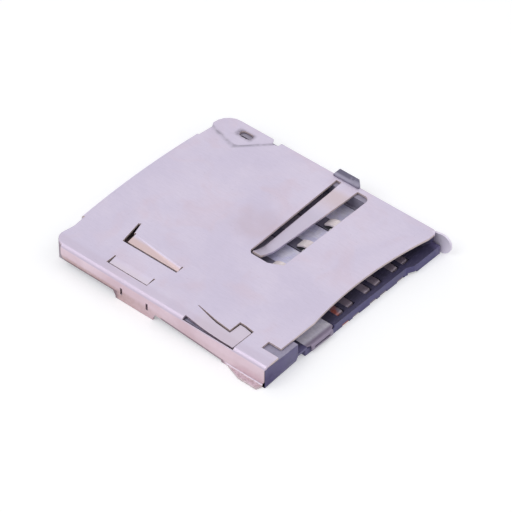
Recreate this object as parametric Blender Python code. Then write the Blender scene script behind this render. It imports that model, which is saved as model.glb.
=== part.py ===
"""Push-push SIM card socket for a circuit board, modelled as separate pieces.

Sizes are in metres, written as millimetres times 1e-3. +Z is up and z = 0 is the board. The
origin is the middle of the underside.
The card goes in along +Y. The ejector mechanism lies along the -X side, beside the card bay.
"""

import math

import bmesh
import bpy
from mathutils import Matrix, Vector

# The pieces are cut and joined at this many times their size, so that fine gaps stay exact
WORK_SCALE = 1000

# Card that the socket takes
CARD_WIDTH = 12.0e-3
CARD_PLAY = 0.15e-3
CARD_SPACE = 0.83e-3
CARD_CORNER = 1.6e-3

# Body
BODY_LENGTH = 17.2e-3
SHEET = 0.15e-3
BEND_RADIUS = 0.3e-3
COVER_GAP = 0.05e-3
FLOOR_THICKNESS = 0.62e-3
OUTER_WALL = 0.25e-3
CHANNEL_WIDTH = 2.25e-3
PARTITION = 0.25e-3
SIDE_WALL = 0.7e-3
REAR_WALL = 0.25e-3
REAR_BOW = 0.3e-3
REAR_EASE = 0.08e-3
BASE_CORNER = 0.3e-3
SIDE_UNDERCUT = 0.2e-3
FRONT_UNDERCUT = 0.35e-3
UNDERCUT_HEIGHT = 0.45e-3
CHANNEL_FLOOR = 0.25e-3
FRONT_BLOCK = 1.6e-3
FINGER_PLAY = 0.3e-3

# Clearances between pieces
FIT = 0.04e-3
SLIDE = 0.06e-3

# What is joined to the sheet is thinner by this on each side, so that no faces coincide
HAIR = 0.004e-3

# Stamped cover, in plan
TAB_WIDTH = 1.2e-3
NOTCH_WIDTH = 0.65e-3
NOTCH_DEPTH = 1.3e-3
EDGE_SETBACK = 0.36e-3
EDGE_DIP = 0.3e-3
DIP_INSET = 1.85e-3
FRONT_CORNER_CUT = 0.42e-3
LEFT_CORNER_CUT = 0.85e-3
PAD_LENGTH = 4.25e-3
PAD_WIDTH = 2.2e-3
PAD_DROP = 0.13e-3
PAD_RADIUS = 1.2e-3
PAD_HOLE_LENGTH = 1.0e-3
PAD_HOLE_WIDTH = 0.55e-3
PAD_HOLE_INSET = 0.88e-3
PAD_HOLE_SETBACK = 2.47e-3
RELIEF = 0.5e-3
PAD_LAP = 0.1e-3

# Window across the cover, with the card spring lanced along its rear edge
WINDOW_LENGTH = 8.5e-3
WINDOW_FRONT = 4.97e-3
WINDOW_WIDTH = 2.7e-3
WINDOW_SLANT = 0.28e-3
WINDOW_MARGIN = 0.55e-3
WINDOW_EASE = 0.45e-3
CARD_SPRING_ROOT = 1.3e-3
CARD_SPRING_TIP = 0.65e-3
CARD_SPRING_GAP = 0.4e-3
CARD_SPRING_DROP = 0.4e-3
CARD_SPRING_CURL = 0.2e-3
CARD_SPRING_INSET = 0.6e-3
CARD_SPRING_BEND = 1.0e-3
TIP_FLIGHT = 0.7e-3
TIP_RETURN = 0.35e-3
SLIT = 0.1e-3

# Flap that holds the slider down, lock tab, and leaf over the cam pin
FLAP_FRONT = 9.45e-3
FLAP_LENGTH = 4.15e-3
FLAP_WIDTH = 0.78e-3
FLAP_END_WIDTH = 0.4e-3
FLAP_DROP = 0.14e-3
FLAP_GAP = 0.24e-3
FLAP_LEG = 1.65e-3
FLAP_LEG_SLANT = 0.3e-3
LOCK_FRONT = 10.0e-3
LOCK_LENGTH = 3.05e-3
LOCK_WIDTH = 0.62e-3
LOCK_INSET = 0.85e-3
LOCK_DROP = 0.1e-3
LOCK_GAP = 0.14e-3
LEAF_FRONT = 2.6e-3
LEAF_LENGTH = 3.85e-3
LEAF_ROOT = 1.3e-3
LEAF_NECK = 0.85e-3
LEAF_HEAD = 1.75e-3
LEAF_HEAD_LENGTH = 0.95e-3
LEAF_HEAD_TAPER = 0.35e-3
LEAF_CURVE = 0.1e-3
LEAF_RAMP = 1.2e-3
LEAF_FLAT = 0.15e-3
LEAF_DIP = 0.08e-3

# Side walls and solder feet of the cover
WALL_BOTTOM = 0.5e-3
WALL_FRONT_BOTTOM = 0.14e-3
FOOT_FRONT = 8.8e-3
FOOT_LENGTH = 3.0e-3
FOOT_TAPER = 0.2e-3
FOOT_SHOULDER = 0.15e-3
FOOT_NOTCH = 0.16e-3
FOOT_NOTCH_INSET = 0.55e-3
WALL_END_RADIUS = 0.45e-3
FRONT_FOOT_LENGTH = 1.9e-3
FRONT_FOOT_ROOT = 3.2e-3
FRONT_FOOT_TOE = 0.5e-3
EAR_REACH = 0.92e-3
EAR_STEP = 0.18e-3
EAR_FLARE = 0.12e-3
REAR_FOLD_INSET = 2.4e-3
REAR_FOOT_WIDTH = 1.4e-3
REAR_FOOT_INSET = 1.0e-3

# Boss of the base, which stands through the right wall of the cover
BOSS_FRONT = 6.15e-3
BOSS_LENGTH = 1.95e-3
BOSS_OUT = 0.3e-3
BOSS_RISE = 0.12e-3
BOSS_ROOT = 0.35e-3
BOSS_CHAMFER = 0.4e-3
BOSS_HEIGHT = 0.92e-3
PORT_PLAY = 0.05e-3
NOSE_REACH = 0.25e-3
NOSE_WIDTH = 2.4e-3
MOUTH_FLARE = 0.3e-3

# Contacts
CONTACT_ROWS = 3
COLUMN_PITCH = 7.62e-3
CONTACT_THICKNESS = 0.12e-3
CONTACT_TAIL = 0.55e-3
CONTACT_BEAM = 0.65e-3
CONTACT_PAIR_GAP = 0.4e-3
CARRIER_GAP = 0.15e-3
CARRIER_CLEARANCE = 0.59e-3
PLATE_CLEARANCE = 0.95e-3
PLATE_MARGIN = 0.2e-3
BRIDGE_WIDTH = 0.5e-3
SPAN_STEP = 0.1e-3
TIP_RISE = 0.4e-3
TIP_END = 0.62e-3
TIP_ROUND = 0.35e-3
FRONT_TIP = 5.5e-3
BEAM_LENGTH = 2.9e-3
TAIL_INSET = 0.52e-3
CONTACT_BEND = 0.16e-3
LIP = 0.34e-3

# Card switch
SWITCH_INSET = 2.05e-3
SWITCH_CLEARANCE = 0.805e-3
SWITCH_WIDTH = 0.6e-3
SWITCH_PLATE_WIDTH = 2.4e-3
SWITCH_PLATE_LENGTH = 1.7e-3
SWITCH_TIP = 2.07e-3
SWITCH_LAP = 0.5e-3
SWITCH_LIFT = 0.1e-3
SWITCH_BLADE_ROOT = 0.9e-3
SWITCH_TAB_INSET = 0.25e-3
SWITCH_TAB_LOW = 0.19e-3
SWITCH_SLOT = 1.4e-3

# Ejector
TRAVEL = 3.4e-3
FINGER = 0.4e-3
FINGER_REACH = 1.15e-3
FINGER_CHAMFER = 0.12e-3
CAM_LENGTH = 4.85e-3
CAM_END = 0.6e-3
ARM_GAP = 0.16e-3
ARM_RAMP = 0.8e-3
GROOVE_DEPTH = 0.33e-3
LANE_INSET = 0.6e-3
PIN_DIAMETER = 0.22e-3
PIN_REACH = 5.0e-3
PIN_PIVOT = 1.0e-3
PIN_SWING = 0.8e-3
LATCH_PLAY = 0.3e-3
HEART_NOSE = 0.7e-3
HORN = 0.18e-3
SPRING_PLAY = 0.1e-3
SPRING_WIRE = 0.15e-3
SPRING_TURNS = 13
SPRING_CLOSED_TURNS = 1.25
SPRING_POST = 0.4e-3
SPRING_POST_LENGTH = 0.55e-3

# Roundness of curved stretches
ARC_STEPS = 5
EDGE_STEPS = 12
BEND_STEPS = 4
WIRE_SIDES = 8
COIL_SIDES = 6
COIL_STEPS = 14
ROUND_SIDES = 12

# Levels
FLOOR_TOP = FLOOR_THICKNESS
CEILING = FLOOR_TOP + CARD_SPACE
TOP = CEILING + SHEET
BASE_TOP = CEILING - COVER_GAP
LEAF_UNDERSIDE = CEILING - LEAF_DIP
PIN_LEVEL = LEAF_UNDERSIDE - FIT - PIN_DIAMETER / 2
CAM_TOP = PIN_LEVEL - PIN_DIAMETER / 2 - FIT
GROOVE_FLOOR = CAM_TOP - GROOVE_DEPTH
SLIDER_BOTTOM = CHANNEL_FLOOR + FIT
SLIDER_ARM_TOP = CEILING - FLAP_DROP - SLIDE
CARRIER_LEVEL = FLOOR_TOP - FIT - CONTACT_THICKNESS / 2
CARRIER_SEAT = CARRIER_LEVEL - CONTACT_THICKNESS / 2 - FIT
TAIL_LEVEL = CONTACT_THICKNESS / 2
SWITCH_LEVEL = TAIL_LEVEL + SWITCH_LIFT
TIP_HEIGHT = FLOOR_TOP + TIP_RISE
SPRING_DIAMETER = CEILING - LOCK_DROP - CHANNEL_FLOOR - 2 * SPRING_PLAY
SPRING_LEVEL = CHANNEL_FLOOR + FIT + SPRING_DIAMETER / 2
EAR_TOP = TOP - EAR_STEP
JOINED_SHEET = SHEET - 2 * HAIR

# Places across the width
BASE_WIDTH = OUTER_WALL + CHANNEL_WIDTH + PARTITION + CARD_WIDTH + CARD_PLAY + SIDE_WALL
COVER_X = BASE_WIDTH / 2 + COVER_GAP + SHEET
BASE_X = BASE_WIDTH / 2
CHANNEL_LEFT = OUTER_WALL - BASE_X
CHANNEL_RIGHT = CHANNEL_LEFT + CHANNEL_WIDTH
BAY_LEFT = CHANNEL_RIGHT + PARTITION
BAY_RIGHT = BAY_LEFT + CARD_WIDTH + CARD_PLAY
LANE_X = CHANNEL_LEFT + LANE_INSET + SLIDE
SLIDER_LEFT = CHANNEL_LEFT + SLIDE
SLIDER_RIGHT = CHANNEL_RIGHT - SLIDE
SPRING_X = SLIDER_LEFT + SPRING_DIAMETER / 2
ARM_LEFT = SLIDER_LEFT + SPRING_DIAMETER + ARM_GAP
FINGER_RIGHT = BAY_LEFT + FINGER_REACH
SWITCH_X = BAY_LEFT + SWITCH_INSET
SWITCH_RIGHT = SWITCH_X + SWITCH_PLATE_WIDTH / 2
REAR_FOLD_HALF = COVER_X - REAR_FOLD_INSET
REAR_FOOT_X = REAR_FOLD_HALF - REAR_FOOT_INSET

# The contact rows fill the bay beside the card switch, which sets them 2.54 mm apart
FIRST_ROW_X = SWITCH_RIGHT + SWITCH_CLEARANCE + CONTACT_TAIL + CONTACT_PAIR_GAP / 2
ROWS_RIGHT = BAY_RIGHT - PLATE_MARGIN - CONTACT_BEAM / 2 - CARRIER_GAP + PLATE_CLEARANCE
ROW_PITCH = (ROWS_RIGHT - FIRST_ROW_X) / CONTACT_ROWS
CARRIER_WIDTH = ROW_PITCH - CONTACT_BEAM - CARRIER_GAP - CARRIER_CLEARANCE
PLATE_WIDTH = ROW_PITCH - PLATE_CLEARANCE

# Places along the length
FRONT = -BODY_LENGTH / 2
REAR = BODY_LENGTH / 2
BASE_REAR = REAR - REAR_EASE - SHEET - COVER_GAP
BAY_REAR = BASE_REAR - REAR_WALL
BLOCK_REAR = FRONT + FRONT_BLOCK
PIVOT_Y = FRONT + PIN_PIVOT
PIN_TIP_Y = PIVOT_Y + PIN_REACH
WINDOW_Y = FRONT + WINDOW_FRONT
FRONT_TIP_Y = FRONT + FRONT_TIP
REAR_TIP_Y = FRONT_TIP_Y + COLUMN_PITCH
SWITCH_TIP_Y = BAY_REAR - SWITCH_TIP
FINGER_REAR = BASE_REAR - SLIDE - TRAVEL
FINGER_FRONT = FINGER_REAR - FINGER
CAM_REAR = PIN_TIP_Y + PIN_DIAMETER + CAM_END
CAM_FRONT = CAM_REAR - CAM_LENGTH

# How far a cutter reaches past what it cuts
PAST = 0.5e-3


def clear_scene():
    for existing in list(bpy.data.objects):
        bpy.data.objects.remove(existing, do_unlink=True)


def material(name, colour, roughness, metallic):
    finish = bpy.data.materials.new(name)
    finish.use_nodes = True
    shader = finish.node_tree.nodes["Principled BSDF"]
    shader.inputs["Base Color"].default_value = (*colour, 1.0)
    shader.inputs["Roughness"].default_value = roughness
    shader.inputs["Metallic"].default_value = metallic
    return finish


def add_object(name, bm):
    bmesh.ops.recalc_face_normals(bm, faces=bm.faces)
    mesh = bpy.data.meshes.new(name)
    bm.to_mesh(mesh)
    bm.free()
    piece = bpy.data.objects.new(name, mesh)
    bpy.context.collection.objects.link(piece)
    return piece


def loft(name, rings):
    """Closed solid through rings of equally many points, with its two ends capped."""
    bm = bmesh.new()
    loops = [[bm.verts.new(Vector(point) * WORK_SCALE) for point in ring] for ring in rings]
    count = len(loops[0])
    for near, far in zip(loops, loops[1:]):
        for i in range(count):
            j = (i + 1) % count
            bm.faces.new((near[i], near[j], far[j], far[i]))
    bm.faces.new(loops[0])
    bm.faces.new(loops[-1][::-1])
    return add_object(name, bm)


def prism(name, outline, low, high, axis="Z"):
    """Outline extruded along an axis: (x, y) for Z, (x, z) for Y and (y, z) for X."""
    place = {
        "Z": lambda a, b, h: Vector((a, b, h)),
        "Y": lambda a, b, h: Vector((a, h, b)),
        "X": lambda a, b, h: Vector((h, a, b)),
    }[axis]
    return loft(name, [[place(a, b, h) for a, b in outline] for h in (low, high)])


def block(name, x, y, z):
    return prism(name, [(x[0], y[0]), (x[1], y[0]), (x[1], y[1]), (x[0], y[1])], z[0], z[1])


def combine(target, tool, operation):
    """Boolean of target with tool, applied, with the tool used up."""
    modifier = target.modifiers.new("combine", "BOOLEAN")
    modifier.operation = operation
    modifier.solver = "EXACT"
    modifier.object = tool
    graph = bpy.context.evaluated_depsgraph_get()
    result = bpy.data.meshes.new_from_object(target.evaluated_get(graph))
    target.modifiers.clear()
    target.data = result
    bpy.data.objects.remove(tool, do_unlink=True)
    return target


def cut(target, *tools):
    for tool in tools:
        combine(target, tool, "DIFFERENCE")
    return target


def join(target, *tools):
    for tool in tools:
        combine(target, tool, "UNION")
    return target


def finish_piece(piece, finish):
    """Brings a piece back from the working scale, and gives it its material and edges."""
    piece.data.transform(Matrix.Scale(1 / WORK_SCALE, 4))
    piece.data.materials.clear()
    piece.data.materials.append(finish)
    piece.data.shade_smooth()
    piece.data.set_sharp_from_angle(angle=math.radians(35))


def arc_through(a, b, c, steps):
    """Points on the circle through three points, from a to c."""
    d = 2 * (a[0] * (b[1] - c[1]) + b[0] * (c[1] - a[1]) + c[0] * (a[1] - b[1]))
    sa, sb, sc = (p[0] ** 2 + p[1] ** 2 for p in (a, b, c))
    cx = (sa * (b[1] - c[1]) + sb * (c[1] - a[1]) + sc * (a[1] - b[1])) / d
    cy = (sa * (c[0] - b[0]) + sb * (a[0] - c[0]) + sc * (b[0] - a[0])) / d
    radius = math.hypot(a[0] - cx, a[1] - cy)
    angles = [math.atan2(p[1] - cy, p[0] - cx) for p in (a, b, c)]
    turn = math.tau if angles[0] < angles[1] else -math.tau
    while (angles[2] - angles[0]) * turn < 0 or (angles[1] - angles[0]) * turn < 0:
        if (angles[1] - angles[0]) * turn < 0:
            angles[1] += turn
        if (angles[2] - angles[0]) * turn < 0:
            angles[2] += turn
    span = angles[2] - angles[0]
    return [
        (
            cx + radius * math.cos(angles[0] + span * i / steps),
            cy + radius * math.sin(angles[0] + span * i / steps),
        )
        for i in range(steps + 1)
    ]


def corner(centre, radius, start, end, steps=ARC_STEPS):
    """Arc about a centre, with its angles in degrees."""
    return [
        (
            centre[0] + radius * math.cos(math.radians(start + (end - start) * i / steps)),
            centre[1] + radius * math.sin(math.radians(start + (end - start) * i / steps)),
        )
        for i in range(steps + 1)
    ]


def circle(centre, radius):
    """Closed outline of a round hole or post."""
    return corner(centre, radius, 0, 360 - 360 / ROUND_SIDES, ROUND_SIDES - 1)


def round_path(points, radius, steps=ARC_STEPS):
    """Polyline with each inner corner rounded to the radius, or less where a leg is short."""
    path = [Vector(points[0])]
    most = 0.45
    for before, here, after in zip(points, points[1:], points[2:]):
        here = Vector(here)
        back = Vector(before) - here
        ahead = Vector(after) - here
        reach = min(radius, back.length * most, ahead.length * most)
        start = here + back.normalized() * reach
        end = here + ahead.normalized() * reach
        for i in range(steps + 1):
            t = i / steps
            path.append(start.lerp(here, t).lerp(here.lerp(end, t), t))
    path.append(Vector(points[-1]))
    return path


def with_stations(path, stations):
    """Path with an extra point wherever it passes one of the stations."""
    full = [path[0]]
    for near, far in zip(path, path[1:]):
        low, high = sorted((near[0], far[0]))
        inside = [s for s in stations if low + HAIR < s < high - HAIR]
        for s in sorted(inside, reverse=far[0] < near[0]):
            full.append(near.lerp(far, (s - near[0]) / (far[0] - near[0])))
        full.append(far)
    return full


def span_at(spans, s):
    """Low and high edge of a strip at a station, from a table of (station, low, high)."""
    if s <= spans[0][0]:
        return spans[0][1:]
    for near, far in zip(spans, spans[1:]):
        if s <= far[0]:
            t = (s - near[0]) / (far[0] - near[0])
            return near[1] + (far[1] - near[1]) * t, near[2] + (far[2] - near[2]) * t
    return spans[-1][1:]


def strip(name, path, spans, thickness, along="Y"):
    """Bent strip of sheet: a path of (station, z) and the strip's edges at each station."""
    path = with_stations([Vector(p) for p in path], [row[0] for row in spans])
    rings = []
    for i, here in enumerate(path):
        back = (here - path[i - 1]).normalized() if i else (path[1] - here).normalized()
        ahead = (path[i + 1] - here).normalized() if i + 1 < len(path) else back
        mean = (back + ahead).normalized()
        normal = Vector((-mean.y, mean.x)) * (thickness / 2 / max(mean.dot(back), 0.5))
        low, high = span_at(spans, here.x)
        ring = []
        for offset, side in ((-1, low), (-1, high), (1, high), (1, low)):
            s, z = here + normal * offset
            ring.append((side, s, z) if along == "Y" else (s, side, z))
        rings.append(ring)
    return loft(name, rings)


def outline_of_spans(spans, spread):
    """Plan outline of a strip along Y, grown sideways."""
    left = [(low - spread, s) for s, low, high in spans]
    right = [(high + spread, s) for s, low, high in spans]
    return left + right[::-1]


def wire(name, points, diameter, sides=WIRE_SIDES):
    """Round wire along a path, built with rings that turn with the path."""
    rings = []
    side = None
    for i, here in enumerate(points):
        back = (here - points[i - 1]).normalized() if i else (points[1] - here).normalized()
        ahead = (points[i + 1] - here).normalized() if i + 1 < len(points) else back
        mean = (back + ahead).normalized()
        if side is None:
            side = mean.orthogonal().normalized()
        side = (side - mean * side.dot(mean)).normalized()
        other = mean.cross(side)
        rings.append(
            [
                here
                + side * math.cos(math.tau * k / sides) * diameter / 2
                + other * math.sin(math.tau * k / sides) * diameter / 2
                for k in range(sides)
            ]
        )
    return loft(name, rings)


def front_edge():
    """Front edge of the cover, from the left tab to the right corner."""
    tab = TAB_WIDTH - COVER_X
    notch = tab + NOTCH_WIDTH
    dip_start = BAY_LEFT + DIP_INSET
    dip_end = COVER_X - FRONT_CORNER_CUT - 2 * BEND_RADIUS
    middle = (dip_start + dip_end) / 2
    edge = [(-COVER_X - PAST, FRONT), (tab, FRONT), (tab, FRONT + NOTCH_DEPTH)]
    edge += [(notch, FRONT + NOTCH_DEPTH), (notch, FRONT + EDGE_SETBACK)]
    edge += arc_through(
        (dip_start, FRONT + EDGE_SETBACK),
        (middle, FRONT + EDGE_SETBACK + EDGE_DIP),
        (dip_end, FRONT + HAIR),
        EDGE_STEPS,
    )
    edge += [(COVER_X - FRONT_CORNER_CUT, FRONT), (COVER_X, FRONT + FRONT_CORNER_CUT)]
    edge += [(COVER_X + PAST, FRONT + FRONT_CORNER_CUT)]
    return edge


def rear_arc(inset, steps=EDGE_STEPS):
    """Bowed rear edge of the cover, right to left, moved inwards by an inset."""
    half = REAR_FOLD_HALF + 2 * BEND_RADIUS
    end = REAR - REAR_EASE - inset
    return arc_through((half, end), (0.0, end + REAR_BOW), (-half, end), steps)


def pad_step():
    """Line along which the rear right corner of the cover is stepped down, front to rear."""
    x = COVER_X - PAD_WIDTH
    y = REAR - PAD_LENGTH
    return [
        (COVER_X - RELIEF - PAD_LAP, y),
        (x + 0.07 * PAD_WIDTH, y + 0.33 * PAD_LENGTH),
        (x, y + 0.46 * PAD_LENGTH),
        (x + 0.23 * PAD_WIDTH, REAR - REAR_EASE - BEND_RADIUS),
    ]


def cover_plan():
    plan = front_edge()
    plan += [(COVER_X + PAST, REAR - PAD_LENGTH - RELIEF)]
    plan += [(COVER_X - RELIEF, REAR - PAD_LENGTH - RELIEF)]
    plan += pad_step()
    plan += rear_arc(BEND_RADIUS)
    plan += [(-COVER_X + LEFT_CORNER_CUT, REAR - REAR_EASE - BEND_RADIUS / 2)]
    plan += corner(
        (-COVER_X + LEFT_CORNER_CUT, REAR - LEFT_CORNER_CUT - REAR_EASE),
        LEFT_CORNER_CUT - BEND_RADIUS / 2,
        90,
        180,
    )
    plan += [(-COVER_X - PAST, REAR - LEFT_CORNER_CUT - REAR_EASE)]
    return plan


def bend_profile(reach):
    """Section of a fold, seen as (distance outwards from the outer face, z)."""
    outer = corner((-BEND_RADIUS, TOP - BEND_RADIUS), BEND_RADIUS, 90, 0)
    inner = corner((-BEND_RADIUS, TOP - BEND_RADIUS), BEND_RADIUS - SHEET, 0, 90)
    return [(-reach, TOP), *outer, (0.0, 0.0), (-SHEET, 0.0), *inner, (-reach, CEILING)]


def fold_profile():
    """Section of the rear fold, a hair inside the sheet's faces so that it joins cleanly."""
    profile = bend_profile(2 * BEND_RADIUS)
    half = len(profile) // 2
    outer = [(n - HAIR, max(z - HAIR, 0.0)) for n, z in profile[:half]]
    inner = [(n + HAIR, z + HAIR if z > 0 else 0.0) for n, z in profile[half:]]
    return outer + inner


def cover_body():
    """Folded channel of sheet, trimmed to the plan, with its rear fold."""
    half = bend_profile(COVER_X)[1:-1]
    right = [(COVER_X + n, z) for n, z in half]
    left = [(-x, z) for x, z in right]
    count = ARC_STEPS + 1
    outer = left[:count][::-1] + right[:count]
    profile = [left[count]] + outer + [right[count], right[count + 1]]
    profile += right[count + 2 :] + left[count + 2 :][::-1] + [left[count + 1]]
    body = prism("shell", profile, FRONT - PAST, REAR + PAST, "Y")
    combine(body, prism("plan", cover_plan(), -PAST, TOP + PAST), "INTERSECT")
    path = [p for p in rear_arc(0.0, EDGE_STEPS) if abs(p[0]) <= REAR_FOLD_HALF]
    rings = []
    for i, (x, y) in enumerate(path):
        near = path[max(i - 1, 0)]
        far = path[min(i + 1, len(path) - 1)]
        way = Vector((far[0] - near[0], far[1] - near[1])).normalized()
        out = Vector((way.y, -way.x))
        rings.append(
            [(x + out.x * n, y + out.y * n, z) for n, z in fold_profile()]
        )
    return join(body, loft("rear_fold", rings))


def corner_pad():
    """Rear right corner of the cover, stepped down, with its hole."""
    outline = [(x - PAD_LAP, y) for x, y in pad_step()]
    outline += [(COVER_X - PAD_RADIUS - PAD_LAP, REAR - REAR_EASE)]
    outline += corner(
        (COVER_X - PAD_RADIUS - FIT, REAR - PAD_RADIUS - REAR_EASE), PAD_RADIUS, 90, 0
    )
    outline += [(COVER_X - FIT, REAR - PAD_LENGTH + RELIEF / 2)]
    outline += [(COVER_X - RELIEF, REAR - PAD_LENGTH)]
    pad = prism("pad", outline, CEILING - PAD_DROP, TOP - PAD_DROP)
    x = COVER_X - PAD_HOLE_INSET
    y = REAR - PAD_HOLE_SETBACK
    half = (PAD_HOLE_LENGTH - PAD_HOLE_WIDTH) / 2
    hole = corner((x, y + half), PAD_HOLE_WIDTH / 2, 0, 180)
    hole += corner((x, y - half), PAD_HOLE_WIDTH / 2, 180, 360)
    return cut(pad, prism("hole", hole, CEILING - PAST, TOP + PAST))


def window_outline():
    """Window across the cover, with its rear edge at a slant and its corners eased."""
    right = COVER_X - WINDOW_MARGIN
    left = right - WINDOW_LENGTH
    rear = WINDOW_Y + WINDOW_WIDTH
    ease = WINDOW_EASE
    outline = [(left + ease, WINDOW_Y)]
    outline += corner((right - ease, WINDOW_Y + ease), ease, 270, 360)
    outline += [(right, rear), (left + ease / 2, rear - WINDOW_SLANT)]
    outline += [(left, rear - WINDOW_SLANT - ease / 2), (left, WINDOW_Y + 2 * ease)]
    return outline


def card_spring():
    """Spring arm of the cover that presses on the card, sloping down to a curled tip."""
    root = COVER_X - WINDOW_MARGIN
    tip = root - WINDOW_LENGTH + CARD_SPRING_INSET
    rear = WINDOW_Y + WINDOW_WIDTH - CARD_SPRING_GAP
    level = TOP - SHEET / 2
    low = level - CARD_SPRING_DROP
    curl = low + CARD_SPRING_CURL
    path = [
        (root + SLIT, level),
        (root - 0.35 * CARD_SPRING_BEND, level),
        (root - CARD_SPRING_BEND, level - 0.2 * CARD_SPRING_DROP),
        (tip + TIP_FLIGHT, low),
        (tip, curl),
        (tip - TIP_RETURN, curl + 0.75 * CARD_SPRING_CURL),
    ]
    spans = [
        (tip - TIP_RETURN, rear - CARD_SPRING_TIP, rear),
        (root, rear - CARD_SPRING_ROOT, rear),
    ]
    path = round_path(path, 2 * CARD_SPRING_CURL)
    return strip("card_spring", path, spans, JOINED_SHEET, "X")


def slider_flap():
    """Slits round the flap over the slider's finger, and the flap bent down at a slanted fold."""
    free = BAY_LEFT
    front = FRONT + FLAP_FRONT
    rear = front + FLAP_LENGTH
    slit = [
        (free - FLAP_GAP, front - SLIT),
        (free + FLAP_END_WIDTH, front - SLIT),
        (free + FLAP_WIDTH, rear),
        (free - FLAP_GAP, rear),
    ]
    end = free + FLAP_LEG
    leg = [
        (free - FLAP_GAP, rear - 2 * SLIT),
        (free + HAIR, rear - 2 * SLIT),
        (end, rear + FLAP_LEG_SLANT),
        (end - SLIT, rear + FLAP_LEG_SLANT + 1.5 * SLIT),
        (free - FLAP_GAP, rear + SLIT),
    ]
    level = TOP - SHEET / 2
    rings = []
    for y, fold in ((front, free + FLAP_END_WIDTH), (rear - SLIT, free + FLAP_WIDTH)):
        middle = [(fold + SLIT, level), (fold - SLIT, level), (free, level - FLAP_DROP)]
        lower = [(x, y, z - JOINED_SHEET / 2) for x, z in middle]
        upper = [(x, y, z + JOINED_SHEET / 2) for x, z in middle]
        rings.append(lower + upper[::-1])
    return slit, leg, loft("flap", rings)


def lock_tab():
    """Slit on three sides of the small lock tab, and the tab set a little low."""
    free = -COVER_X + LOCK_INSET
    root = free + LOCK_WIDTH
    y = FRONT + LOCK_FRONT
    slit = [(free - LOCK_GAP, y - SLIT), (root, y - SLIT), (root, y + LOCK_LENGTH + SLIT)]
    slit += [(free - LOCK_GAP, y + LOCK_LENGTH + SLIT)]
    level = TOP - SHEET / 2
    path = [(root + SLIT, level), (root - SLIT, level), (free, level - LOCK_DROP)]
    spans = [(free, y, y + LOCK_LENGTH), (root, y, y + LOCK_LENGTH)]
    return slit, strip("lock", round_path(path, SLIT), spans, JOINED_SHEET, "X")


def pin_leaf():
    """Opening round the leaf over the cam pin, and the leaf itself."""
    left = -COVER_X + BEND_RADIUS / 2
    y = FRONT + LEAF_FRONT
    root = y + LEAF_LENGTH
    head = y + LEAF_HEAD_LENGTH
    taper = head - LEAF_HEAD_TAPER
    curve = head + 0.4 * (root - head)
    waist = left + LEAF_NECK + LEAF_CURVE
    opening = [
        (left - SLIT, y - SLIT),
        (left + LEAF_HEAD, y - SLIT),
        (left + LEAF_HEAD + SLIT, taper),
        (left + LEAF_HEAD + SLIT, head + SLIT),
        (left + LEAF_NECK + SLIT, head + SLIT),
        (waist + SLIT, curve),
        (left + LEAF_ROOT + SLIT / 2, root),
        (left - SLIT, root),
    ]
    level = TOP - SHEET / 2
    path = [
        (y, level - LEAF_DIP),
        (root - LEAF_RAMP, level - LEAF_DIP),
        (root - LEAF_FLAT, level),
        (root + 2 * SLIT, level),
    ]
    spans = [
        (y, left, left + LEAF_HEAD - SLIT),
        (taper, left, left + LEAF_HEAD),
        (head, left, left + LEAF_HEAD),
        (head + SLIT / 4, left, left + LEAF_NECK),
        (curve, left + SLIT / 2, waist),
        (root, left + 2 * SLIT, left + LEAF_ROOT),
    ]
    return opening, strip("leaf", round_path(path, 2 * LEAF_FLAT), spans, JOINED_SHEET)


def left_wall_cuts():
    """What is cut away below and behind the left wall: (y, z) outlines."""
    foot = FRONT + FOOT_FRONT
    foot_end = foot + FOOT_LENGTH
    rear_end = REAR - LEFT_CORNER_CUT - REAR_EASE
    bend = WALL_END_RADIUS
    rear = [(foot_end, -PAST), (foot_end, FOOT_SHOULDER), (foot_end + FOOT_TAPER, WALL_BOTTOM)]
    rear += corner((rear_end - bend, WALL_BOTTOM + bend), bend, 270, 350)
    rear += [(rear_end + PAST, WALL_BOTTOM + bend), (rear_end + PAST, -PAST)]
    middle = [
        (FRONT + FRONT_FOOT_ROOT, -PAST),
        (FRONT + FRONT_FOOT_ROOT + FOOT_TAPER, WALL_FRONT_BOTTOM),
        (foot - FOOT_TAPER, WALL_BOTTOM),
        (foot, FOOT_SHOULDER),
        (foot, -PAST),
    ]
    notches = [
        [
            (y, WALL_BOTTOM - HAIR),
            (y + FOOT_NOTCH, WALL_BOTTOM - HAIR),
            (y + FOOT_NOTCH, 2 * WALL_BOTTOM),
            (y, 2 * WALL_BOTTOM),
        ]
        for y in (foot_end - FOOT_NOTCH_INSET, foot + FOOT_NOTCH_INSET - FOOT_NOTCH)
    ]
    return rear, middle, *notches


def right_wall_cuts():
    """What is cut away below the right wall, and round the boss of the base."""
    foot = FRONT + FOOT_FRONT
    end = REAR - PAD_LENGTH - RELIEF
    rear = [(foot + FOOT_LENGTH, -PAST), (foot + FOOT_LENGTH, WALL_BOTTOM)]
    rear += [(end + PAST, WALL_BOTTOM), (end + PAST, -PAST)]
    middle = [
        (FRONT + FRONT_FOOT_LENGTH, -PAST),
        (FRONT + FRONT_FOOT_LENGTH, WALL_BOTTOM),
        (foot, WALL_BOTTOM),
        (foot, -PAST),
    ]
    boss = FRONT + BOSS_FRONT
    sill = TOP + BOSS_RISE - BOSS_HEIGHT - PORT_PLAY
    port = [
        (boss - FIT, sill),
        (boss + BOSS_LENGTH + FIT, sill),
        (boss + BOSS_LENGTH + FIT, TOP + PAST),
        (boss - FIT, TOP + PAST),
    ]
    return rear, middle, port


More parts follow.
